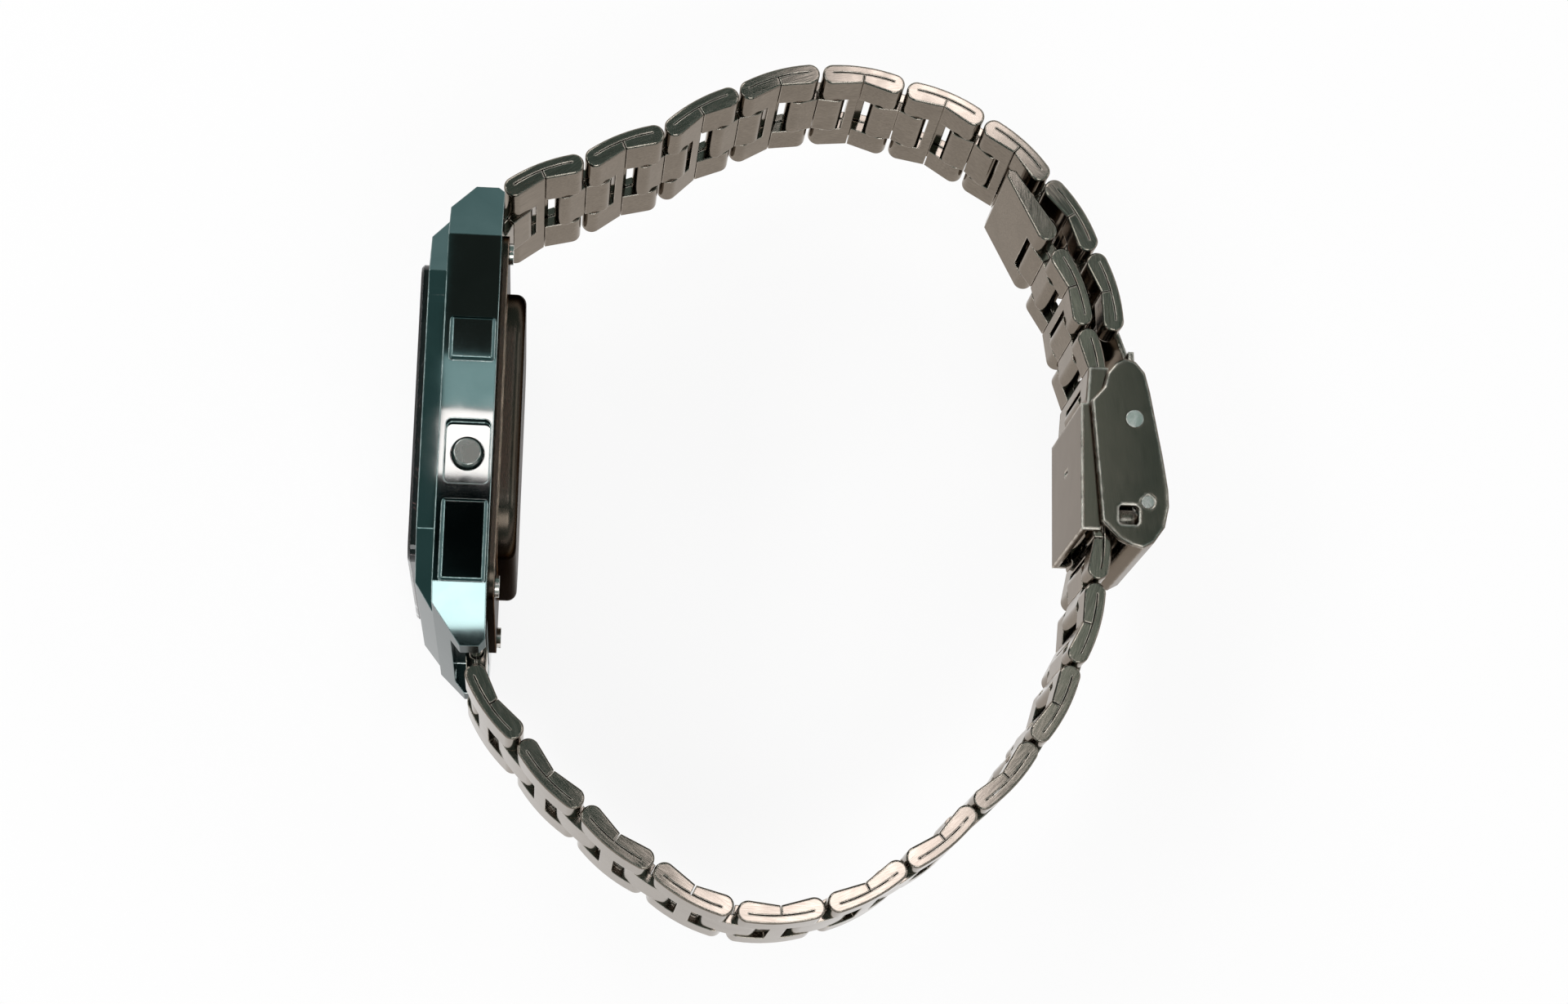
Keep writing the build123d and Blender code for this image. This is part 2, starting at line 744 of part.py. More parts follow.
# Clasp base: a floor on the wrist side, two walls with the ears of the cover's rivets
floor_front = -7.4
floor_back = 3.0
ear_radius = 1.05
ear_foot = 1.9
guide_front = -10.4
guide_top = 0.75
wall_top = 1.3
slot_long = 1.6
slot_wide = 0.35
window_place = (1.9, 2.2)
window_size = 1.6
window_corner = 0.3
catch_size = 1.1
catch_rise = 0.12
with BuildPart() as clasp_base:
    with BuildSketch(clasp_plane(0)):
        with Locations(((floor_front + floor_back) / 2, floor_top - floor_sheet / 2)):
            Rectangle(floor_back - floor_front, floor_sheet)
    extrude(amount=wall_outer, both=True)
    with BuildSketch(clasp_plane(0)):
        Polygon(
            (floor_front, floor_top - floor_sheet),
            (floor_back, floor_top - floor_sheet),
            (floor_back, 0),
            (floor_back - wall_top, wall_top),
            (cover_pin[0] + ear_foot, wall_top),
            (cover_pin[0] + ear_radius, cover_pin[1]),
            (cover_pin[0] - ear_radius, cover_pin[1]),
            (floor_front, guide_top),
            (guide_front, guide_top),
            (guide_front, -guide_top),
            (floor_front, floor_top),
            align=None,
        )
        with Locations(cover_pin):
            Circle(ear_radius)
        with Locations((window_place[0], window_place[1] / 2)):
            Rectangle(catch_size, window_place[1] + catch_size)
    extrude(amount=wall_outer, both=True)
    with BuildSketch(clasp_plane(0)):
        with Locations(window_place):
            Rectangle(catch_size / 2, catch_size)
    extrude(amount=wall_outer + catch_rise, both=True)
    with BuildSketch(clasp_plane(0)):
        with Locations(((floor_front + floor_back) / 2, floor_top + overrun * 2)):
            Rectangle(2 * (floor_back - floor_front), overrun * 4)
    extrude(amount=wall_inner, both=True, mode=Mode.SUBTRACT)
    with BuildSketch(clasp_plane(0)):
        with Locations(cover_pin):
            Circle(rivet_radius + fit_gap / 2)
    extrude(amount=wall_outer, both=True, mode=Mode.SUBTRACT)
    # Two slots where the floor grips the link that it is locked to
    with BuildSketch(Plane(origin=(clasp_centre[0], clasp_centre[1] + floor_top, 0), z_dir=(0, -1, 0))):
        with Locations((0, row_inner), (0, -row_inner)):
            RectangleRounded(slot_long, slot_wide, slot_wide / 3)
    extrude(amount=floor_sheet, mode=Mode.SUBTRACT)
keep(clasp_base, "clasp_base")

# Lock plate, which swings on its own pin and drops a tongue behind a centre link
lock_pin_place = (-4.6, 1.75)
lock_pin_radius = 0.28
lock_knuckle = 0.5
lock_sheet = 0.4
lock_reach = 4.6
lock_half = 4.9
lock_lift = 1.45
with BuildPart() as lock_plate:
    with BuildSketch(clasp_plane(0)):
        with Locations(lock_pin_place):
            Circle(lock_knuckle)
        Polygon(
            (lock_pin_place[0], lock_pin_place[1] + lock_knuckle),
            (lock_pin_place[0], lock_pin_place[1] + lock_knuckle - lock_sheet),
            (lock_pin_place[0] + lock_reach, lock_lift),
            (lock_pin_place[0] + lock_reach, lock_lift + lock_sheet),
            align=None,
        )
    extrude(amount=lock_half, both=True)
    with BuildSketch(clasp_plane(0)):
        with Locations(lock_pin_place):
            Circle(lock_pin_radius + fit_gap)
    extrude(amount=lock_half, both=True, mode=Mode.SUBTRACT)
keep(lock_plate, "lock_plate")

with BuildPart() as lock_pin:
    with BuildSketch(clasp_plane(0)):
        with Locations(lock_pin_place):
            Circle(lock_pin_radius)
    extrude(amount=wall_inner - fit_gap / 2, both=True)
keep(lock_pin, "lock_pin")

# Cover: two side plates joined by a bowed sheet round the free end
cover_outline = (
    (-7.5, -0.75),
    (2.45, 0.05),
    (3.9, 1.45),
    (4.4, 2.45),
    (4.6, 3.3),
    (4.1, 4.2),
    (2.8, 5.1),
    (1.1, 5.45),
    (-0.25, 5.4),
    (-2.9, 5.0),
    (-5.6, 4.5),
    (-8.3, 4.0),
    (-9.9, 3.6),
    (-10.8, 2.85),
    (-11.05, 1.95),
    (-10.65, 1.2),
    (-9.85, 0.55),
    (-8.65, 0.25),
)
cover_hollow = (
    (1.9, 6.0),
    (1.9, 4.65),
    (2.5, 4.4),
    (3.55, 3.7),
    (3.9, 3.2),
    (3.75, 2.6),
    (3.65, 2.1),
    (6.0, 2.1),
    (6.0, -2.5),
    (-12.0, -2.5),
    (-12.0, 6.0),
)
cover_edge = 0.15
with BuildPart() as clasp_cover:
    with BuildSketch(clasp_plane(0)):
        Polygon(*cover_outline, align=None)
    extrude(amount=cover_outer, both=True)
    ends = clasp_cover.edges().group_by(Axis.Z)
    chamfer(ends[0] + ends[-1], cover_edge)
    with BuildSketch(clasp_plane(0)):
        Polygon(*cover_hollow, align=None)
    extrude(amount=cover_inner, both=True, mode=Mode.SUBTRACT)
    with BuildSketch(clasp_plane(0)):
        with Locations(cover_pin):
            Circle(rivet_radius + fit_gap)
        with Locations(hook_pin_place):
            Circle(hook_pin_radius + fit_gap / 2)
        with Locations(window_place):
            RectangleRounded(window_size, window_size, window_corner)
    extrude(amount=cover_outer, both=True, mode=Mode.SUBTRACT)
keep(clasp_cover, "clasp_cover")

with BuildPart() as cover_rivets:
    for side in (1, -1):
        with BuildSketch(Plane(origin=(*clasp_centre, side * wall_inner), z_dir=(0, 0, side), x_dir=(1, 0, 0))):
            with Locations((cover_pin[0], side * cover_pin[1])):
                Circle(rivet_radius)
        extrude(amount=cover_outer + rivet_rise - wall_inner)
        with BuildSketch(Plane(origin=(*clasp_centre, side * cover_outer), z_dir=(0, 0, side), x_dir=(1, 0, 0))):
            with Locations((cover_pin[0], side * cover_pin[1])):
                Circle(rivet_head)
        extrude(amount=rivet_rise)
keep(cover_rivets, "cover_rivets")

with BuildPart() as hook_pin:
    with BuildSketch(clasp_plane(0)):
        with Locations(hook_pin_place):
            Circle(hook_pin_radius)
    extrude(amount=cover_outer + rivet_rise / 2, both=True)
keep(hook_pin, "hook_pin")

# Hook plate, hinged in the cover, whose tongue wraps the last pin of the upper strap
hook_broad = clasp_half - side_gap
hook_half = 5.2
tongue_half = row_inner - 2 * side_gap
bar_gap = 0.16
tip_gap = 0.58
tip_lift = 0.1
tip_sheet = 0.35
bar_at = (hook_bar[0] - clasp_centre[0], hook_bar[1] - clasp_centre[1])
tongue_top = bar_at[1] + pin_radius + bar_gap + hook_sheet
tip_outer = bar_at[0] - pin_radius - tip_gap - tip_sheet
shoulder = (-12.4, 3.2)
waist = (-4.2, 3.6)
with BuildPart() as hook_plate:
    with BuildSketch(clasp_plane(0)):
        with Locations(hook_pin_place):
            Circle(knuckle_radius)
        Polygon(
            (hook_pin_place[0], hook_pin_place[1] + knuckle_radius),
            waist,
            (waist[0], waist[1] - hook_sheet),
            (hook_pin_place[0], hook_pin_place[1] - hook_sheet),
            align=None,
        )
    extrude(amount=hook_broad, both=True)
    with BuildSketch(clasp_plane(0)):
        Polygon(
            waist,
            shoulder,
            (shoulder[0], shoulder[1] - hook_sheet),
            (waist[0], waist[1] - hook_sheet),
            align=None,
        )
    extrude(amount=hook_half, both=True)
    with BuildSketch(clasp_plane(0)):
        Polygon(
            shoulder,
            (bar_at[0], tongue_top),
            (tip_outer + hook_sheet / 2, tongue_top),
            (tip_outer, tongue_top - hook_sheet / 2),
            (tip_outer, bar_at[1] + tip_lift),
            (tip_outer + tip_sheet, bar_at[1] + tip_lift),
            (tip_outer + tip_sheet, tongue_top - hook_sheet),
            (bar_at[0], tongue_top - hook_sheet),
            (shoulder[0], shoulder[1] - hook_sheet),
            align=None,
        )
    extrude(amount=tongue_half, both=True)
    with BuildSketch(clasp_plane(0)):
        with Locations(hook_pin_place):
            Circle(hook_pin_radius + fit_gap)
    extrude(amount=hook_broad, both=True, mode=Mode.SUBTRACT)
keep(hook_plate, "hook_plate")

hinges.append(("clasp_cover", (clasp_centre[0] + cover_pin[0], clasp_centre[1] + cover_pin[1])))
hinges.append(("hook_plate", (clasp_centre[0] + hook_pin_place[0], clasp_centre[1] + hook_pin_place[1])))
hinges.append(("lock_plate", (clasp_centre[0] + lock_pin_place[0], clasp_centre[1] + lock_pin_place[1])))

# Move the whole watch so that its middle stands over the origin and its low side on the floor
box = Compound(children=[piece.moved(Location()) for piece in pieces]).bounding_box()
to_floor = Location((-box.center().X, -box.center().Y, -box.min.Z))
for piece in pieces:
    placed = piece.moved(to_floor)
    placed.label = piece.label
    export_step(placed, f"parts/{piece.label}.step")
for name, place in hinges:
    print(f"hinge {name} {place[0] - box.center().X:.4f} {place[1] - box.center().Y:.4f}")
print(f"middle of the case {-box.center().X:.4f} {-box.center().Y:.4f} {-box.min.Z:.4f}")
print(f"size {box.size.X:.3f} {box.size.Y:.3f} {box.size.Z:.3f}")
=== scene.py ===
import json
import math

import bmesh
import bpy
from mathutils import Matrix, Vector

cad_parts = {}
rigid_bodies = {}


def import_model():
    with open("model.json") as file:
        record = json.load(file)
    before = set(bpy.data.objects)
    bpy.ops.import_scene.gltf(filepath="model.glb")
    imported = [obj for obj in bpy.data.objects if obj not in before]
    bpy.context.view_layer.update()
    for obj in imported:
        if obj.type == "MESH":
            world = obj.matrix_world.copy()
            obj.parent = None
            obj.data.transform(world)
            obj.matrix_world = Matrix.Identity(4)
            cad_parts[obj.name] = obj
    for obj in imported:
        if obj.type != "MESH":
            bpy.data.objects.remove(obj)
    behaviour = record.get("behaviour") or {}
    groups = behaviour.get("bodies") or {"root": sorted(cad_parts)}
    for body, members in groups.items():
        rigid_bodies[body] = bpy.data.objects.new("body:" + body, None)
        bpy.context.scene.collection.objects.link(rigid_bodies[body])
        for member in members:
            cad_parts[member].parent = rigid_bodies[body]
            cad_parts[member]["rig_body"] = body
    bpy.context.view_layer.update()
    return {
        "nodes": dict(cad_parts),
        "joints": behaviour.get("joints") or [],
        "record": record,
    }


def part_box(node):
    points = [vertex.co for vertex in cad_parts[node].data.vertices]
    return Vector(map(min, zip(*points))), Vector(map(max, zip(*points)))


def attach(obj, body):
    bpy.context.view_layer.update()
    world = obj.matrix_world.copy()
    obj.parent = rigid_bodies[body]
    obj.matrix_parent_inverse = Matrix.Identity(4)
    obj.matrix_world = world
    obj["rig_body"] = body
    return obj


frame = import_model()
record = frame["record"]
nodes_by_name = frame["nodes"]

MM = 0.001


# Small helpers for shader trees. A Mix node has sockets of every kind; these are its colour ones.

MIX_FACTOR, MIX_FIRST, MIX_SECOND = 0, 6, 7
MIX_RESULT = 2


def colour(red, green, blue):
    """A colour with full opacity."""
    return (red, green, blue, 1.0)


def connect(tree, value, socket):
    """Link an output to a socket, or set the socket's own value."""
    if isinstance(value, bpy.types.NodeSocket):
        tree.links.new(value, socket)
    else:
        socket.default_value = value


def connect_in_order(tree, values, node):
    """Set or link a node's inputs from the first one on, and return its first output."""
    for value, socket in zip(values, node.inputs):
        connect(tree, value, socket)
    return node.outputs[0]


def add_node(tree, kind, settings=None, **inputs):
    """Add a node with its own settings, and set or link inputs by name, with _ for a space."""
    node = tree.nodes.new(kind)
    for key, value in (settings or {}).items():
        setattr(node, key, value)
    for key, value in inputs.items():
        connect(tree, value, node.inputs[key.replace("_", " ")])
    return node


def texture(tree, kind, settings=None, **inputs):
    """Add a texture node that reads the piece's own coordinates."""
    place = add_node(tree, "ShaderNodeTexCoord")
    return add_node(tree, kind, settings, Vector=place.outputs["Object"], **inputs)


def noise(tree, **inputs):
    """Add a noise in the piece's own coordinates and return its value."""
    return texture(tree, "ShaderNodeTexNoise", **inputs).outputs[0]


def arithmetic(tree, operation, *values, clamp=False):
    """Add a Math node and return its output."""
    node = add_node(tree, "ShaderNodeMath", {"operation": operation, "use_clamp": clamp})
    return connect_in_order(tree, values, node)


def spread(tree, value, low, high, from_low=0.0, from_high=1.0):
    """Bring a value from one range into another and hold it there."""
    node = add_node(tree, "ShaderNodeMapRange", {"clamp": True})
    return connect_in_order(tree, (value, from_low, from_high, low, high), node)


def mix_colours(tree, factor, first, second):
    """Mix two colours and return the result."""
    node = add_node(tree, "ShaderNodeMix", {"data_type": "RGBA"})
    connect(tree, factor, node.inputs[MIX_FACTOR])
    connect(tree, first, node.inputs[MIX_FIRST])
    connect(tree, second, node.inputs[MIX_SECOND])
    return node.outputs[MIX_RESULT]


def mix_shaders(tree, factor, first, second):
    """Mix two shaders and return the result."""
    return connect_in_order(tree, (factor, first, second), add_node(tree, "ShaderNodeMixShader"))


def new_group(name, inputs, outputs):
    """Start a node group with named inputs and outputs."""
    group = bpy.data.node_groups.new(name, "ShaderNodeTree")
    for label, value in inputs:
        socket = group.interface.new_socket(
            name=label, in_out="INPUT", socket_type="NodeSocketFloat"
        )
        socket.default_value = value
    for label in outputs:
        group.interface.new_socket(name=label, in_out="OUTPUT", socket_type="NodeSocketFloat")
    return group, group.nodes.new("NodeGroupInput"), group.nodes.new("NodeGroupOutput")


# Effects that several finishes share

CORNER_SAMPLES = 6


def rounded_normal(tree, reach):
    """The normal as it would be if each corner were round by this reach."""
    return add_node(
        tree, "ShaderNodeBevel", {"samples": CORNER_SAMPLES}, Radius=reach
    ).outputs[0]


def build_brushed_grain():
    """Long fine streaks that run along a heading, with a density along it and one across it."""
    group, given, result = new_group(
        "brushed grain", (("Heading", 0.0), ("Along", 900.0), ("Across", 16000.0)), ("Grain",)
    )
    place = add_node(group, "ShaderNodeTexCoord")
    turned = add_node(
        group,
        "ShaderNodeVectorRotate",
        {"rotation_type": "Z_AXIS", "invert": True},
        Vector=place.outputs["Object"],
        Angle=given.outputs["Heading"],
    )
    across = given.outputs["Across"]
    density = add_node(
        group, "ShaderNodeCombineXYZ", X=given.outputs["Along"], Y=across, Z=across
    )
    stretched = connect_in_order(
        group,
        (turned.outputs[0], density.outputs[0]),
        add_node(group, "ShaderNodeVectorMath", {"operation": "MULTIPLY"}),
    )
    streaks = add_node(
        group, "ShaderNodeTexNoise", Vector=stretched, Scale=1.0, Detail=3.0, Roughness=0.6
    )
    group.links.new(streaks.outputs[0], result.inputs["Grain"])
    return group


def build_worn_edges():
    """A mask of the corners: partly metal polished by handling, and partly where a finish paints a
    bright edge highlight.
    """
    group, given, result = new_group(
        "worn and sheen edges", (("Reach", 0.00012), ("Patches", 900.0)), ("Wear And Sheen",)
    )
    lean = add_node(group, "ShaderNodeVectorMath", {"operation": "DOT_PRODUCT"})
    surface = add_node(group, "ShaderNodeNewGeometry")
    connect_in_order(
        group,
        (rounded_normal(group, given.outputs["Reach"]), surface.outputs["Normal"]),
        lean,
    )
    corner = spread(
        group, lean.outputs["Value"], low=1.0, high=0.0, from_low=0.82, from_high=0.985
    )
    patches = noise(group, Scale=given.outputs["Patches"], Detail=3.0)
    uneven = spread(group, patches, low=0.45, high=1.0, from_low=0.35, from_high=0.62)
    wear_and_sheen = arithmetic(group, "MULTIPLY", corner, uneven, clamp=True)
    group.links.new(wear_and_sheen, result.inputs["Wear And Sheen"])
    return group


def build_handling_marks():
    """Soft smudges from fingers, and short fine scratches that run every way."""
    group, given, result = new_group(
        "handling marks",
        (("Smudge Size", 320.0), ("Scratch Size", 1500.0)),
        ("Smudge", "Scratches"),
    )
    cloud = noise(group, Scale=given.outputs["Smudge Size"], Detail=4.0, Distortion=0.6)
    smudge = spread(group, cloud, low=0.0, high=1.0, from_low=0.34, from_high=0.66)
    group.links.new(smudge, result.inputs["Smudge"])
    bent = noise(group, Scale=given.outputs["Scratch Size"], Detail=1.0, Distortion=2.5)
    middle, line_width = 0.5, 0.012
    off_middle = arithmetic(group, "ABSOLUTE", arithmetic(group, "SUBTRACT", bent, middle))
    line = spread(group, off_middle, low=1.0, high=0.0, from_high=line_width)
    group.links.new(line, result.inputs["Scratches"])
    return group


brushed_grain = build_brushed_grain()
worn_and_sheen_edges = build_worn_edges()
handling_marks = build_handling_marks()


def place_group(tree, group, **inputs):
    """Put a shared effect into a material with its own values."""
    return add_node(tree, "ShaderNodeGroup", {"node_tree": group}, **inputs)


def contrast(tree, value, low, high):
    """Bring the middle part of a grain or cloud, where most of it lies, into a range."""
    return spread(tree, value, low, high, from_low=0.3, from_high=0.7)


def start_finish(name, **sockets):
    """Start a material with one Principled shader, its plain values set on its own sockets."""
    material = bpy.data.materials.new(name)
    material.use_nodes = True
    tree = material.node_tree
    shader = tree.nodes["Principled BSDF"]
    for key, value in sockets.items():
        shader.inputs[key.replace("_", " ")].default_value = value
    return material, tree, shader


def set_surface(tree, shader_output):
    """Make this shader the surface of the material."""
    tree.links.new(shader_output, tree.nodes["Material Output"].inputs["Surface"])


def bump_of(tree, shader, height, depth, corner=None):
    """Feed a height into the shader's normal, over corners that may be softly rounded."""
    bump = add_node(tree, "ShaderNodeBump", Strength=1.0, Distance=depth, Height=height)
    if corner is not None:
        tree.links.new(rounded_normal(tree, corner), bump.inputs["Normal"])
    tree.links.new(bump.outputs[0], shader.inputs["Normal"])


# Finishes of the metal pieces

def brushed_steel(
    name,
    dark,
    light,
    rubbed_and_sheen,
    rough_low,
    rough_high,
    tint,
    along,
    across,
    grain_depth,
    corner,
    edge_rough,
):
    """Brushed steel whose grain follows each link, with smudges and bright corners that are partly
    worn metal and partly a painted edge highlight.
    """
    smudge_dulling, smudge_roughness = 0.35, 0.05
    material, tree, shader = start_finish(name, Metallic=1.0, Specular_Tint=tint)
    heading = add_node(
        tree,
        "ShaderNodeAttribute",
        {"attribute_type": "OBJECT", "attribute_name": "grain_heading"},
    )
    grain = place_group(
        tree, brushed_grain, Heading=heading.outputs["Fac"], Along=along, Across=across
    ).outputs["Grain"]
    wear_and_sheen = place_group(tree, worn_and_sheen_edges, Reach=corner).outputs["Wear And Sheen"]
    smudge = place_group(tree, handling_marks).outputs["Smudge"]
    body = mix_colours(tree, contrast(tree, grain, 0.0, 1.0), dark, light)
    aged = mix_colours(tree, spread(tree, smudge, 0.0, smudge_dulling), body, dark)
    # Corners take the edge colour: partly worn metal, and partly a painted edge highlight,
    # strongest on the clasp.
    tree.links.new(mix_colours(tree, wear_and_sheen, aged, rubbed_and_sheen), shader.inputs["Base Color"])
    brushed = contrast(tree, grain, rough_low, rough_high)
    touched = arithmetic(tree, "ADD", brushed, spread(tree, smudge, 0.0, smudge_roughness))
    polished = arithmetic(tree, "MULTIPLY", touched, spread(tree, wear_and_sheen, 1.0, edge_rough))
    tree.links.new(polished, shader.inputs["Roughness"])
    bump_of(tree, shader, grain, grain_depth, corner=corner)
    return material


def polished_plating(name, dark, light, rubbed_and_sheen, rough_low, rough_high, satin=None):
    """Mirror plating with smudges, hair scratches and bright corners. Its ends may be satin."""
    scratch_roughness, satin_roughness, edge_rough = 0.01, 0.22, 0.3
    end_lean_low, end_lean_high = 0.84, 0.86
    material, tree, shader = start_finish(
        name, Metallic=1.0, Specular_Tint=colour(0.34, 0.36, 0.36)
    )
    wear_and_sheen = place_group(tree, worn_and_sheen_edges, Reach=0.16 * MM).outputs["Wear And Sheen"]
    marks = place_group(tree, handling_marks, Smudge_Size=260.0, Scratch_Size=900.0)
    body = mix_colours(tree, marks.outputs["Smudge"], dark, light)
    hazy = spread(tree, marks.outputs["Smudge"], rough_low, rough_high)
    scratched = arithmetic(tree, "MULTIPLY", marks.outputs["Scratches"], scratch_roughness)
    rough = arithmetic(tree, "ADD", hazy, scratched)
    if satin is not None:
        surface = add_node(tree, "ShaderNodeNewGeometry")
        sides = add_node(tree, "ShaderNodeSeparateXYZ", Vector=surface.outputs["True Normal"])
        lean = arithmetic(tree, "ABSOLUTE", sides.outputs["X"])
        on_end = spread(tree, lean, 0.0, 1.0, end_lean_low, end_lean_high)
        strokes = place_group(tree, brushed_grain, Heading=0.0, Along=500.0, Across=9000.0)
        body = mix_colours(tree, on_end, body, mix_colours(tree, strokes.outputs["Grain"], *satin))
        rough = arithmetic(
            tree, "ADD", rough, arithmetic(tree, "MULTIPLY", on_end, satin_roughness)
        )
    tree.links.new(mix_colours(tree, wear_and_sheen, body, rubbed_and_sheen), shader.inputs["Base Color"])
    polished = arithmetic(tree, "MULTIPLY", rough, spread(tree, wear_and_sheen, 1.0, edge_rough))
    tree.links.new(polished, shader.inputs["Roughness"])
    flow = noise(tree, Scale=130.0, Detail=1.0)
    bump_of(tree, shader, flow, 0.01 * MM, corner=0.12 * MM)
    return material


def turned_steel(name, dark, light, rough_low, rough_high):
    """Small turned or stamped pieces with fine tool lines across their length."""
    material, tree, shader = start_finish(name, Metallic=1.0)
    wear_and_sheen = place_group(tree, worn_and_sheen_edges, Reach=0.06 * MM).outputs["Wear And Sheen"]
    smudge = place_group(tree, handling_marks, Smudge_Size=700.0).outputs["Smudge"]
    lines = texture(
        tree,
        "ShaderNodeTexWave",
        {"bands_direction": "Z"},
        Scale=2600.0,
        Distortion=3.0,
        Detail=2.0,
    ).outputs["Fac"]
    body = mix_colours(tree, spread(tree, lines, 0.1, 0.7), dark, light)
    tree.links.new(mix_colours(tree, wear_and_sheen, body, light), shader.inputs["Base Color"])
    tree.links.new(spread(tree, smudge, rough_low, rough_high), shader.inputs["Roughness"])
    bump_of(tree, shader, lines, 0.0008 * MM, corner=0.08 * MM)
    return material


def satin_back(name, dark, light, rubbed_and_sheen):
    """The pressed back: fine straight satin lines, a little brown where skin touched it."""
    skin_brown, most_brown = colour(0.06, 0.042, 0.03), 0.5
    material, tree, shader = start_finish(
        name, Metallic=1.0, Specular_Tint=colour(0.16, 0.13, 0.11)
    )
    grain = place_group(
        tree, brushed_grain, Heading=0.0, Along=700.0, Across=20000.0
    ).outputs["Grain"]
    wear_and_sheen = place_group(tree, worn_and_sheen_edges, Reach=0.18 * MM).outputs["Wear And Sheen"]
    smudge = place_group(tree, handling_marks, Smudge_Size=150.0).outputs["Smudge"]
    body = mix_colours(tree, contrast(tree, grain, 0.0, 1.0), dark, light)
    browned = mix_colours(tree, spread(tree, smudge, 0.0, most_brown), body, skin_brown)
    tree.links.new(mix_colours(tree, wear_and_sheen, browned, rubbed_and_sheen), shader.inputs["Base Color"])
    tree.links.new(contrast(tree, grain, 0.2, 0.36), shader.inputs["Roughness"])
    bump_of(tree, shader, grain, 0.0006 * MM, corner=0.2 * MM)
    return material


# Finishes of the glass, rubber and plastic pieces

def clear_crystal(name):
    """The polished crystal, with the faintest haze and hair scratches. Its side faces are coloured
    black: painted shade in place of the dark dial seen through the rim.
    """
    clear, black = colour(0.93, 0.96, 0.95), colour(0.004, 0.005, 0.005)
    rim_lean_low, rim_lean_high = 0.5, 0.6
    material, tree, shader = start_finish(name, Transmission_Weight=1.0, IOR=1.5)
    marks = place_group(tree, handling_marks, Smudge_Size=140.0, Scratch_Size=420.0)
    haze = spread(tree, marks.outputs["Smudge"], 0.01, 0.05)
    tree.links.new(haze, shader.inputs["Roughness"])
    surface = add_node(tree, "ShaderNodeNewGeometry")
    sides = add_node(tree, "ShaderNodeSeparateXYZ", Vector=surface.outputs["True Normal"])
    lean = arithmetic(tree, "ABSOLUTE", sides.outputs["Y"])
    # Side faces turn black: painted shade in place of the dark dial seen through the rim.
    painted_rim_shade = spread(tree, lean, 1.0, 0.0, rim_lean_low, rim_lean_high)
    tree.links.new(mix_colours(tree, painted_rim_shade, clear, black), shader.inputs["Base Color"])
    bump_of(tree, shader, marks.outputs["Scratches"], 0.0004 * MM)
    rays = add_node(tree, "ShaderNodeLightPath")
    see_through = add_node(tree, "ShaderNodeBsdfTransparent", Color=colour(0.9, 0.93, 0.92))
    in_shadow = rays.outputs["Is Shadow Ray"]
    set_surface(
        tree, mix_shaders(tree, in_shadow, shader.outputs[0], see_through.outputs[0])
    )
    return material


def liquid_crystal(name):
    """Grey green display glass with a fine pattern of cells and a slight unevenness."""
    dark, light, speck = colour(0.30, 0.34, 0.27), colour(0.38, 0.42, 0.34), colour(0.22, 0.25, 0.2)
    most_speck = 0.18
    material, tree, shader = start_finish(name, Coat_Weight=0.6)
    cells = texture(
        tree, "ShaderNodeTexVoronoi", Scale=14000.0, Randomness=0.2
    ).outputs["Distance"]
    cloud = noise(tree, Scale=180.0, Detail=3.0)
    body = mix_colours(tree, cloud, dark, light)
    speckled = mix_colours(tree, spread(tree, cells, 0.0, most_speck), body, speck)
    tree.links.new(speckled, shader.inputs["Base Color"])
    tree.links.new(spread(tree, cloud, 0.25, 0.4), shader.inputs["Roughness"])
    bump_of(tree, shader, cells, 0.0004 * MM)
    return material


def moulded_plastic(name, deep, pale, rough_low, rough_high, specular=0.5):
    """Moulded plastic or rubber with a fine mould texture and corners worn a little paler."""
    most_rubbed = 0.5
    material, tree, shader = start_finish(name, Specular_IOR_Level=specular)
    mould = noise(tree, Scale=4200.0, Detail=4.0)
    cloud = noise(tree, Scale=210.0, Detail=3.0)
    wear_and_sheen = place_group(tree, worn_and_sheen_edges, Reach=0.1 * MM).outputs["Wear And Sheen"]
    body = mix_colours(
        tree, spread(tree, cloud, 0.0, 1.0, from_low=0.35, from_high=0.65), deep, pale
    )
    rubbed_and_sheen = mix_colours(tree, spread(tree, wear_and_sheen, 0.0, most_rubbed), body, pale)
    tree.links.new(rubbed_and_sheen, shader.inputs["Base Color"])
    tree.links.new(contrast(tree, mould, rough_low, rough_high), shader.inputs["Roughness"])
    bump_of(tree, shader, mould, 0.006 * MM)
    return material


def striped_rubber(name):
    """Contact strip rubber: thin dark carbon layers between pale ones."""
    carbon, pale = colour(0.05, 0.05, 0.055), colour(0.42, 0.42, 0.44)
    material, tree, shader = start_finish(name)
    layers = texture(
        tree, "ShaderNodeTexWave", {"bands_direction": "Z"}, Scale=1500.0, Distortion=0.4
    ).outputs["Fac"]
    stripes = spread(tree, layers, 0.0, 1.0, from_low=0.42, from_high=0.58)
    tree.links.new(mix_colours(tree, stripes, carbon, pale), shader.inputs["Base Color"])
    tree.links.new(spread(tree, layers, 0.55, 0.75), shader.inputs["Roughness"])
    bump_of(tree, shader, layers, 0.008 * MM)
    return material


def printed_board(name):
    """Circuit board lacquer over copper tracks and a woven base."""
    material, tree, shader = start_finish(name, Coat_Weight=0.3)
    tracks = texture(
        tree,
        "ShaderNodeTexBrick",
        {"offset": 0.37, "squash": 0.6},
        Scale=520.0,
        Mortar_Size=0.09,
        Mortar_Smooth=0.3,
        Color1=colour(0.012, 0.085, 0.03),
        Color2=colour(0.016, 0.105, 0.04),
        Mortar=colour(0.05, 0.2, 0.06),
    )
    weave = texture(tree, "ShaderNodeTexWave", Scale=2400.0, Distortion=1.0)
    tree.links.new(tracks.outputs["Color"], shader.inputs["Base Color"])
    tree.links.new(spread(tree, weave.outputs["Fac"], 0.3, 0.48), shader.inputs["Roughness"])
    bump_of(tree, shader, tracks.outputs["Fac"], 0.02 * MM)
    return material


# One finish for each material slot of the record, and two inks for the printed pieces

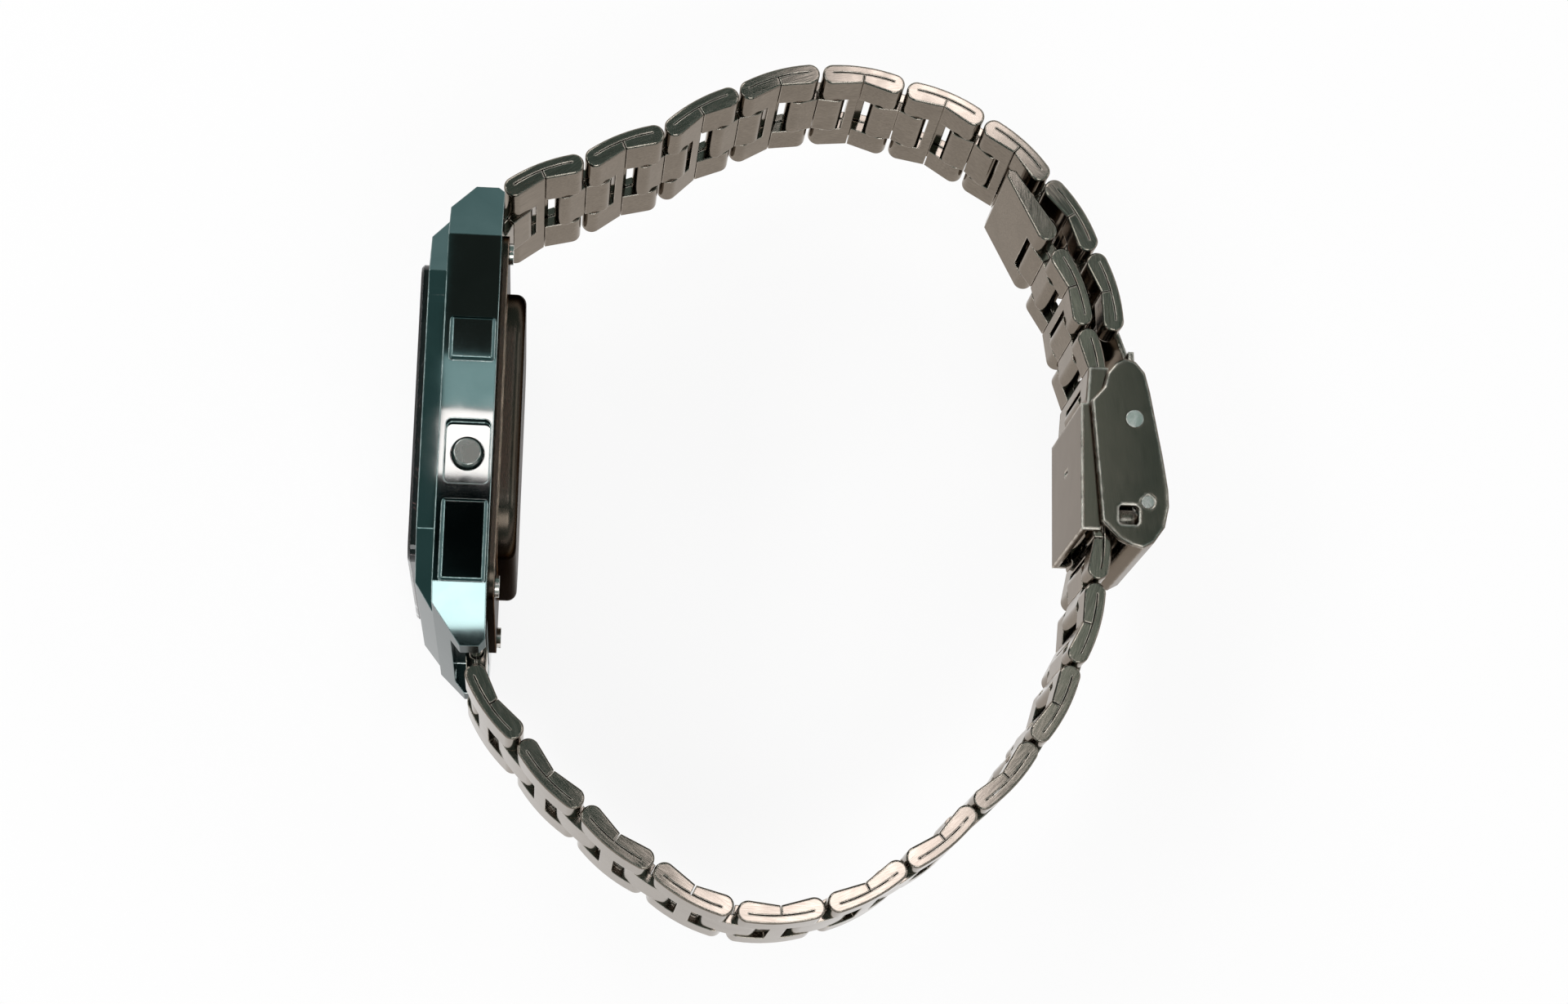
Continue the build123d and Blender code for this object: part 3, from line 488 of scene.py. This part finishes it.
finishes = {
    "case_metal": polished_plating(
        "polished gunmetal plating",
        dark=colour(0.078, 0.132, 0.132),
        light=colour(0.09, 0.148, 0.148),
        rubbed_and_sheen=colour(0.55, 0.62, 0.61),
        rough_low=0.02,
        rough_high=0.035,
        satin=(colour(0.24, 0.245, 0.245), colour(0.34, 0.345, 0.345)),
    ),
    "pusher_chrome": polished_plating(
        "polished pusher plating",
        dark=colour(0.27, 0.28, 0.26),
        light=colour(0.37, 0.38, 0.36),
        rubbed_and_sheen=colour(0.92, 0.92, 0.90),
        rough_low=0.26,
        rough_high=0.36,
    ),
    "link_steel": brushed_steel(
        "brushed bracelet steel",
        dark=colour(0.13, 0.111, 0.091),
        light=colour(0.265, 0.228, 0.19),
        rubbed_and_sheen=colour(0.66, 0.60, 0.53),
        rough_low=0.05,
        rough_high=0.10,
        tint=colour(0.72, 0.68, 0.64),
        along=900.0,
        across=15000.0,
        grain_depth=0.00035 * MM,
        corner=0.14 * MM,
        edge_rough=0.55,
    ),
    "clasp_steel": brushed_steel(
        "brushed clasp steel",
        dark=colour(0.12, 0.10, 0.08),
        light=colour(0.17, 0.14, 0.115),
        # This near-white edge colour is mostly a painted highlight along the clasp's bent edges,
        # with some worn metal.
        rubbed_and_sheen=colour(0.94, 0.88, 0.80),
        rough_low=0.07,
        rough_high=0.12,
        tint=colour(0.6, 0.56, 0.52),
        along=500.0,
        across=19000.0,
        grain_depth=0.0003 * MM,
        corner=0.42 * MM,
        edge_rough=2.6,
    ),
    "small_steel": turned_steel(
        "turned small steel",
        dark=colour(0.42, 0.40, 0.37),
        light=colour(0.68, 0.66, 0.62),
        rough_low=0.12,
        rough_high=0.28,
    ),
    "back_steel": satin_back(
        "satin back steel",
        dark=colour(0.05, 0.042, 0.034),
        light=colour(0.085, 0.07, 0.056),
        rubbed_and_sheen=colour(0.62, 0.46, 0.36),
    ),
    "battery_steel": turned_steel(
        "battery can steel",
        dark=colour(0.52, 0.51, 0.49),
        light=colour(0.66, 0.65, 0.63),
        rough_low=0.2,
        rough_high=0.34,
    ),
    "crystal_glass": clear_crystal("clear crystal glass"),
    "display_glass": liquid_crystal("liquid crystal glass"),
    "black_rubber": moulded_plastic(
        "black sealing rubber",
        deep=colour(0.012, 0.012, 0.013),
        pale=colour(0.03, 0.03, 0.031),
        rough_low=0.55,
        rough_high=0.75,
    ),
    "strip_rubber": striped_rubber("striped contact rubber"),
    "dial_plastic": moulded_plastic(
        "black dial plastic",
        deep=colour(0.007, 0.008, 0.01),
        pale=colour(0.014, 0.015, 0.018),
        rough_low=0.3,
        rough_high=0.42,
    ),
    "light_plastic": moulded_plastic(
        "frosted light plastic",
        deep=colour(0.62, 0.66, 0.62),
        pale=colour(0.74, 0.78, 0.73),
        rough_low=0.35,
        rough_high=0.5,
    ),
    "module_plastic": moulded_plastic(
        "grey frame plastic",
        deep=colour(0.03, 0.03, 0.032),
        pale=colour(0.055, 0.055, 0.058),
        rough_low=0.42,
        rough_high=0.6,
    ),
    "board_plastic": printed_board("printed board lacquer"),
    "buzzer_brass": turned_steel(
        "buzzer sheet brass",
        dark=colour(0.55, 0.38, 0.14),
        light=colour(0.70, 0.52, 0.24),
        rough_low=0.22,
        rough_high=0.38,
    ),
}

digit_ink = moulded_plastic(
    "dark digit ink",
    deep=colour(0.016, 0.018, 0.02),
    pale=colour(0.03, 0.032, 0.034),
    rough_low=0.3,
    rough_high=0.45,
    specular=0.3,
)
line_ink = moulded_plastic(
    "silver line ink",
    deep=colour(0.36, 0.38, 0.40),
    pale=colour(0.46, 0.48, 0.50),
    rough_low=0.3,
    rough_high=0.45,
)


def give_finishes():
    """Put each node's finish into its own material slots."""
    for entry in record["subparts"]:
        mesh = nodes_by_name[entry["node"]].data
        mesh.materials.clear()
        mesh.materials.append(finishes[entry["material_slot"]])


def set_grain_headings():
    """Turn the brushed grain of every link and clasp piece along its own length."""
    placed = [joint for joint in frame["joints"] if "pos_m" in joint]
    pivots = {joint["child"]: Vector(joint["pos_m"]) for joint in placed}
    follows = {joint["parent"]: joint["child"] for joint in placed}
    # The clasp's cover and lock plate hang from these two links as well as the next link.
    follows["lower_links_11_12"] = "lower_link_13"
    for piece in nodes_by_name.values():
        body = piece["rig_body"]
        start, end = pivots.get(body), pivots.get(follows.get(body))
        heading = 0.0
        if start is not None and end is not None:
            heading = math.atan2(end.y - start.y, end.x - start.x)
        piece["grain_heading"] = heading


give_finishes()
set_grain_headings()


# The display's digits and the dial's printed lines

low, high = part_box("crystal")
dial_middle = Vector(((low.x + high.x) / 2, 0.0, (low.z + high.z) / 2))
display_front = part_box("lcd_panel")[0].y
mask_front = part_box("dial_mask")[0].y
WINDOW_DROP = 1.2 * MM
INK_THICKNESS = 0.03 * MM
INK_TAPER = 0.96


def on_dial(right, up, depth):
    """A point of the dial: right towards 3 o'clock, up towards 12 o'clock, at a depth along Y."""
    return Vector((dial_middle.x + WINDOW_DROP - up, depth, dial_middle.z + right))


def new_piece(name, shape):
    """Turn a built shape into an object of the scene."""
    mesh = bpy.data.meshes.new(name)
    shape.to_mesh(mesh)
    shape.free()
    piece = bpy.data.objects.new(name, mesh)
    bpy.context.scene.collection.objects.link(piece)
    return piece


def printed_piece(name, outlines, back, finish):
    """One piece of thin printed shapes that stand on a face of the dial, with sloping rims."""
    shape = bmesh.new()
    for outline in outlines:
        middle_right = sum(right for right, up in outline) / len(outline)
        middle_up = sum(up for right, up in outline) / len(outline)
        rear = [shape.verts.new(on_dial(right, up, back)) for right, up in outline]
        front = [
            shape.verts.new(
                on_dial(
                    middle_right + (right - middle_right) * INK_TAPER,
                    middle_up + (up - middle_up) * INK_TAPER,
                    back - INK_THICKNESS,
                )
            )
            for right, up in outline
        ]
        shape.faces.new(front)
        for number in range(len(outline)):
            following = (number + 1) % len(outline)
            shape.faces.new((rear[number], rear[following], front[following], front[number]))
    bmesh.ops.recalc_face_normals(shape, faces=shape.faces)
    piece = new_piece(name, shape)
    piece.data.materials.append(finish)
    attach(piece, "case")


def bar_outline(start, end, half_thickness):
    """A bar with pointed ends between two points."""
    first, last = Vector(start), Vector(end)
    along = (last - first).normalized()
    across = Vector((-along.y, along.x)) * half_thickness
    nose = along * half_thickness
    return [
        first,
        first + nose + across,
        last - nose + across,
        last,
        last - nose - across,
        first + nose - across,
    ]


# The two ends of each bar of a digit, as shares of its width and height

BAR_ENDS = {
    "a": ((0, 1), (1, 1)),
    "b": ((1, 1), (1, 0.5)),
    "c": ((1, 0.5), (1, 0)),
    "d": ((0, 0), (1, 0)),
    "e": ((0, 0.5), (0, 0)),
    "f": ((0, 1), (0, 0.5)),
    "g": ((0, 0.5), (1, 0.5)),
}
LIT_BARS = {
    "0": "abcdef",
    "1": "bc",
    "2": "abged",
    "3": "abgcd",
    "4": "fgbc",
    "6": "afgedc",
    "8": "abcdefg",
}
DIGIT_SLANT = 0.09
BAR_GAP = 0.05
BAR_HALF_THICKNESS = 0.085


def digit_outlines(figure, left, bottom, width, height):
    """The bars of one slanted seven-bar digit."""
    gap = BAR_GAP * width
    half = BAR_HALF_THICKNESS * width
    outlines = []
    for bar in LIT_BARS[figure]:
        start, end = (
            Vector((left + right * width, bottom + up * height)) for right, up in BAR_ENDS[bar]
        )
        along = (end - start).normalized()
        outline = bar_outline(start + along * gap, end - along * gap, half)
        outlines.append(
            [(point.x + (point.y - bottom) * DIGIT_SLANT, point.y) for point in outline]
        )
    return outlines


def dot_outline(right, up, radius):
    """A small round dot."""
    sides = 12
    turns = [2 * math.pi * number / sides for number in range(sides)]
    return [(right + radius * math.cos(turn), up + radius * math.sin(turn)) for turn in turns]


# What the display says: the figures, the left edge of each, their bottom, width and height in mm

FIGURES = (
    ("1008", (-8.3, -5.1, -0.9, 2.3), -3.7, 2.1, 4.3),
    ("36", (5.6, 7.4), -3.7, 1.15, 2.5),
    ("624", (1.6, 4.6, 6.4), 1.7, 1.1, 1.9),
)
TIME_DOTS = ((-1.75, -2.6), (-1.6, -0.9))
TIME_DOT_RADIUS = 0.22
DATE_DASH = ((3.25 * MM, 2.65 * MM), (4.15 * MM, 2.65 * MM))
DATE_DASH_HALF_THICKNESS = 0.1 * MM


def display_digits():
    """Plain digits: the time in large figures, the seconds smaller, and a date above."""
    outlines = []
    for figures, lefts, bottom, width, height in FIGURES:
        for figure, left in zip(figures, lefts):
            outlines += digit_outlines(
                figure, left * MM, bottom * MM, width * MM, height * MM
            )
    outlines.append(bar_outline(*DATE_DASH, DATE_DASH_HALF_THICKNESS))
    for right, up in TIME_DOTS:
        outlines.append(dot_outline(right * MM, up * MM, TIME_DOT_RADIUS * MM))
    printed_piece("display_digits", outlines, display_front, digit_ink)


def frame_outlines(half_right, low_up, high_up, half_line):
    """Four thin bars round a rectangle, whose points meet at its corners."""
    corners = [
        (-half_right, low_up), (half_right, low_up), (half_right, high_up), (-half_right, high_up)
    ]
    return [
        bar_outline(start, end, half_line)
        for start, end in zip(corners, corners[1:] + corners[:1])
    ]


def dial_lines():
    """Thin printed lines: a frame round the window, one round the dial, and two across it."""
    outlines = frame_outlines(10.1 * MM, -5.6 * MM, 5.6 * MM, 0.14 * MM)
    outlines += frame_outlines(10.6 * MM, -9.2 * MM, 11.4 * MM, 0.09 * MM)
    line_reach, line_half = 10.4 * MM, 0.08 * MM
    for up in (7.2 * MM, -7.0 * MM):
        outlines.append(bar_outline((-line_reach, up), (line_reach, up), line_half))
    printed_piece("dial_lines", outlines, mask_front, line_ink)


display_digits()
dial_lines()


# Floor, lamps, reflecting cards and sky, in metres

def pale_floor():
    """A wide white floor that curves up far away, and keeps the watch's soft shadow."""
    half, steps = 1.6, 24
    flat_radius, curve, gap = 1.1, 0.9, 0.04 * MM
    places = [-half + number * half / (steps / 2) for number in range(steps + 1)]
    shape = bmesh.new()
    rows = [[shape.verts.new((x, y, 0.0)) for x in places] for y in places]
    for first, second in zip(rows, rows[1:]):
        for step in range(steps):
            shape.faces.new((first[step], first[step + 1], second[step + 1], second[step]))
    for vert in shape.verts:
        away = math.hypot(vert.co.x, vert.co.y)
        vert.co.z = -gap + curve * max(0.0, away - flat_radius) ** 2
    floor = new_piece("pale_floor", shape)
    material, tree, shader = start_finish(
        "white paper floor", Roughness=0.9, Specular_IOR_Level=0.1
    )
    fibres = noise(tree, Scale=900.0, Detail=3.0)
    paper = mix_colours(tree, fibres, colour(0.92, 0.92, 0.92), colour(0.95, 0.95, 0.95))
    tree.links.new(paper, shader.inputs["Base Color"])
    rays = add_node(tree, "ShaderNodeLightPath")
    seen = arithmetic(
        tree, "MAXIMUM", rays.outputs["Is Camera Ray"], rays.outputs["Is Glossy Ray"]
    )
    seen = arithmetic(tree, "MAXIMUM", seen, rays.outputs["Is Transmission Ray"])
    glow = add_node(tree, "ShaderNodeEmission", Color=colour(1.0, 1.0, 1.0), Strength=1.0)
    glow_share = 0.88
    share = arithmetic(tree, "MULTIPLY", seen, glow_share)
    set_surface(tree, mix_shaders(tree, share, shader.outputs[0], glow.outputs[0]))
    floor.data.materials.append(material)


def soft_lamp(name, place, target, width, length, radiance, tint=(1.0, 1.0, 1.0)):
    """An area lamp of a given brightness per area, facing a point."""
    light = bpy.data.lights.new(name, "AREA")
    light.shape = "RECTANGLE"
    light.size = width
    light.size_y = length
    light.energy = radiance * math.pi * width * length
    light.color = tint
    lamp = bpy.data.objects.new(name, light)
    bpy.context.scene.collection.objects.link(lamp)
    facing = (Vector(place) - Vector(target)).to_track_quat("Z", "Y").to_matrix().to_4x4()
    lamp.matrix_world = Matrix.Translation(Vector(place)) @ facing
    lamp.visible_camera = False


def reflecting_card(name, corner, first_side, second_side, brightness):
    """A small flat glowing card that stands or hangs in the room, seen only in reflections."""
    steps = 6
    strides = [Vector(first_side) * step / steps for step in range(steps + 1)]
    shape = bmesh.new()
    rows = []
    for row in range(steps + 1):
        start = Vector(corner) + Vector(second_side) * row / steps
        rows.append([shape.verts.new(start + stride) for stride in strides])
    for first, second in zip(rows, rows[1:]):
        for step in range(steps):
            shape.faces.new((first[step], second[step], second[step + 1], first[step + 1]))
    card = new_piece(name, shape)
    material = bpy.data.materials.new(name)
    material.use_nodes = True
    tree = material.node_tree
    tree.nodes.clear()
    output = add_node(tree, "ShaderNodeOutputMaterial")
    glow = add_node(tree, "ShaderNodeEmission", Color=colour(*brightness), Strength=1.0)
    tree.links.new(glow.outputs[0], output.inputs["Surface"])
    card.data.materials.append(material)
    card.visible_camera = False
    card.visible_diffuse = False
    card.visible_shadow = False


CEILING = 0.617
ORIGIN = (0.0, 0.0, 0.0)
PINK = (1.0, 0.96, 1.02)
GREEN = (0.86, 1.0, 0.94)

# Lamps that hang level and shine straight down, for the link ends and the clasp:
# name, place along X and Y, width, length, brightness and tint

STRIP_LAMPS = (
    ("upper_strip_lamp", -0.285, 0.087, 0.068, 0.060, 6.6, PINK),
    ("lower_strip_lamp", -0.055, 0.0605, 0.11, 0.081, 6.2, PINK),
    ("clasp_lamp", -0.15, 0.116, 0.14, 0.032, 0.8, GREEN),
)

# Cards side by side at ceiling height, which the case and the pusher's panel mirror:
# name, left and right edge along X, and brightness

OVERHEAD_CARDS = (
    ("dark_card", -0.228, -0.181, (0.09, 0.075, 0.065)),
    ("pale_card", -0.180, -0.1655, (1.9, 1.9, 1.9)),
    ("white_card", -0.1645, -0.1475, (13.0, 7.6, 7.4)),
    ("black_card", -0.1472, -0.116, (0.01, 0.012, 0.012)),
)
OVERHEAD_NEAR, OVERHEAD_DEPTH = -0.0505, 0.0225

# Upright cards far beyond the 6 o'clock end, low over the floor, which the case mirrors:
# name, height of the lower edge, width, height and brightness

FAR_CARDS = (
    ("far_white_card", 0.013, 0.029, 0.02, (9.0, 7.5, 7.5)),
    ("far_black_card", 0.0005, 0.034, 0.0122, (0.02, 0.03, 0.03)),
)
FAR_AWAY, FAR_NEAR = 0.7, -0.064


def studio():
    """Soft lamps round the watch, and the cards that its plating mirrors."""
    pale_floor()
    for name, x, y, width, length, radiance, tint in STRIP_LAMPS:
        soft_lamp(name, (x, y, CEILING), (x, y, 0.0), width, length, radiance, tint)
    soft_lamp("side_lamp", (0.50, 0.08, 0.60), ORIGIN, width=0.34, length=0.34, radiance=4.4)
    soft_lamp("left_lamp", (-0.52, -0.34, 0.46), ORIGIN, width=0.30, length=0.28, radiance=5.2)
    soft_lamp("front_lamp", (-0.02, -0.44, 0.57), ORIGIN, width=0.42, length=0.13, radiance=6.5)
    soft_lamp("back_lamp", (-0.1, 0.72, 0.55), ORIGIN, width=0.40, length=0.32, radiance=2.0)
    for name, left, right, brightness in OVERHEAD_CARDS:
        corner = (left, OVERHEAD_NEAR, CEILING)
        reflecting_card(name, corner, (right - left, 0, 0), (0, OVERHEAD_DEPTH, 0), brightness)
    for name, bottom, width, height, brightness in FAR_CARDS:
        corner = (FAR_AWAY, FAR_NEAR, bottom)
        reflecting_card(name, corner, (0, width, 0), (0, 0, height), brightness)


def studio_sky():
    """A neutral sky for light, a dim teal one for mirrors, and a white one for the camera."""
    white, teal = colour(1.0, 1.0, 1.0), colour(0.19, 0.28, 0.27)
    world = bpy.data.worlds.new("studio_sky")
    bpy.context.scene.world = world
    world.use_nodes = True
    tree = world.node_tree
    tree.nodes.clear()
    output = add_node(tree, "ShaderNodeOutputWorld")
    rays = add_node(tree, "ShaderNodeLightPath")
    lighting = add_node(tree, "ShaderNodeBackground", Color=white, Strength=0.42).outputs[0]
    mirrored = add_node(tree, "ShaderNodeBackground", Color=teal, Strength=1.0).outputs[0]
    seen = add_node(tree, "ShaderNodeBackground", Color=white, Strength=1.0).outputs[0]
    around = mix_shaders(tree, rays.outputs["Is Glossy Ray"], lighting, mirrored)
    whole = mix_shaders(tree, rays.outputs["Is Camera Ray"], around, seen)
    tree.links.new(whole, output.inputs["Surface"])


CAMERA_PLACE = Vector((0.060878, -0.018992, 0.257983))
CAMERA_RIGHT = Vector((-0.02009, 0.99639, 0.08245))
CAMERA_UP = Vector((-0.96977, -0.03948, 0.24080))


def camera_above():
    """The camera looks down at the 3 o'clock side, a little from the 6 o'clock end."""
    data = bpy.data.cameras.new("camera_above")
    data.sensor_fit = "HORIZONTAL"
    data.sensor_width = 36.0
    data.lens = 70.59
    data.clip_start = 0.005
    camera = bpy.data.objects.new("camera_above", data)
    bpy.context.scene.collection.objects.link(camera)
    back = CAMERA_RIGHT.cross(CAMERA_UP)
    turned = Matrix((CAMERA_RIGHT, CAMERA_UP, back)).transposed().to_4x4()
    camera.matrix_world = Matrix.Translation(CAMERA_PLACE) @ turned
    bpy.context.scene.camera = camera


studio()
studio_sky()
camera_above()
bpy.context.scene.view_settings.view_transform = "Standard"
